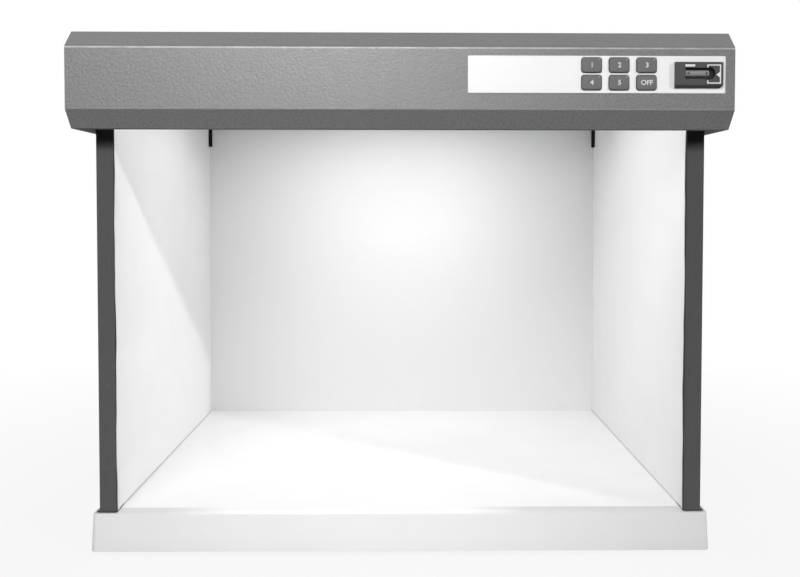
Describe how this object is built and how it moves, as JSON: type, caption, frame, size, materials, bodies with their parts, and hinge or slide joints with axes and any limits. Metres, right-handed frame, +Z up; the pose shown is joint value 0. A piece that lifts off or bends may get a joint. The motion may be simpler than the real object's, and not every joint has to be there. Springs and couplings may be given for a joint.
{
  "type": "colour viewing booth",
  "caption": "Desktop colour viewing booth: a grey lamp hood with a key panel and hour meter over an open-fronted white cabinet on a shallow base.",
  "frame": {"origin": "on the table under the middle of the booth", "axes": "+Z up, open front toward -Y, +X to the right as seen from the front"},
  "size_m": [0.6892, 0.5365, 0.5621],
  "materials": {
    "base_paint": "satin light grey paint",
    "bare_sheet": "plain grey paint",
    "black_rubber": "matte",
    "zinc_steel": "zinc plated",
    "black_screw": "black oxide",
    "cabinet_paint": "matte light grey paint on board",
    "channel_grey": "matte dark grey",
    "black_paint": "matte black",
    "hood_paint": "pebble textured mid grey paint",
    "white_enamel": "gloss white enamel",
    "white_plastic": "satin",
    "day_phosphor": "lit white phosphor",
    "cool_phosphor": "white phosphor",
    "warm_phosphor": "white phosphor",
    "uv_glass": "deep blue filter glass",
    "cap_aluminium": "satin",
    "socket_ceramic": "unglazed",
    "brass": "plain",
    "frosted_glass": "frosted",
    "ballast_paint": "black paint",
    "core_iron": "varnished laminations",
    "board_green": "solder mask",
    "relay_plastic": "gloss",
    "plate_white": "satin white label",
    "key_grey": "matte grey",
    "meter_plastic": "matte dark grey",
    "scale_grey": "printed card",
    "vial_glass": "clear",
    "black_plastic": "matte"
  },
  "bodies": {
    "booth": {"base_pan": "base_paint", "base_bottom_plate": "bare_sheet", "base_feet": "black_rubber", "foot_screws": "zinc_steel", "left_side_panel": "cabinet_paint", "right_side_panel": "cabinet_paint", "back_panel": "cabinet_paint", "panel_bolts": "zinc_steel", "back_panel_screws": "zinc_steel", "left_edge_channel": "channel_grey", "right_edge_channel": "channel_grey", "panel_shoes": "channel_grey", "rear_corner_angles": "black_paint", "hood_cover": "hood_paint", "hood_left_end": "hood_paint", "hood_right_end": "hood_paint", "hood_rear_cover": "hood_paint", "hood_screws": "black_screw", "lamp_chassis": "white_enamel", "chassis_bolts": "zinc_steel", "reflector": "white_enamel", "holder_rails": "white_enamel", "tube_holders": "white_plastic", "day_tubes": "day_phosphor", "cool_white_tubes": "cool_phosphor", "store_tubes": "warm_phosphor", "uv_tube": "uv_glass", "tube_caps": "cap_aluminium", "bulb_sockets": "socket_ceramic", "bulb_bases": "brass", "bulbs_frosted": "frosted_glass", "ballast_cases": "ballast_paint", "ballast_cores": "core_iron", "ballast_screws": "zinc_steel", "terminal_block": "white_plastic", "relay_board": "board_green", "relay_set": "relay_plastic", "board_posts": "brass", "wiring_loom": "black_rubber", "control_plate": "plate_white", "keypad_board": "board_green", "keypad_posts": "brass", "key_switches": "black_plastic", "meter_bezel": "meter_plastic", "meter_scale": "scale_grey", "meter_vial": "vial_glass", "meter_clip": "zinc_steel", "power_inlet": "black_plastic", "inlet_pins": "brass", "inlet_screws": "zinc_steel", "fuse_holder": "black_plastic"},
    "key_day": {"key_day": "key_grey"},
    "key_cool_white": {"key_cool_white": "key_grey"},
    "key_store": {"key_store": "key_grey"},
    "key_incandescent": {"key_incandescent": "key_grey"},
    "key_uv": {"key_uv": "key_grey"},
    "key_off": {"key_off": "key_grey"},
    "fuse_cap": {"fuse_cap": "black_plastic"}
  },
  "joints": [
    {"name": "key_day_press", "type": "slide", "parent": "booth", "child": "key_day", "axis": [0, 1, 0], "range_m": [0, 0.0015], "stiffness_N_per_m": 900},
    {"name": "key_cool_white_press", "type": "slide", "parent": "booth", "child": "key_cool_white", "axis": [0, 1, 0], "range_m": [0, 0.0015], "stiffness_N_per_m": 900},
    {"name": "key_store_press", "type": "slide", "parent": "booth", "child": "key_store", "axis": [0, 1, 0], "range_m": [0, 0.0015], "stiffness_N_per_m": 900},
    {"name": "key_incandescent_press", "type": "slide", "parent": "booth", "child": "key_incandescent", "axis": [0, 1, 0], "range_m": [0, 0.0015], "stiffness_N_per_m": 900},
    {"name": "key_uv_press", "type": "slide", "parent": "booth", "child": "key_uv", "axis": [0, 1, 0], "range_m": [0, 0.0015], "stiffness_N_per_m": 900},
    {"name": "key_off_press", "type": "slide", "parent": "booth", "child": "key_off", "axis": [0, 1, 0], "range_m": [0, 0.0015], "stiffness_N_per_m": 900},
    {"name": "fuse_cap_turn", "type": "hinge", "parent": "booth", "child": "fuse_cap", "pos_m": [-0.22, 0.264, 0.5345], "axis": [0, 1, 0], "range_deg": [0, 90]}
  ]
}
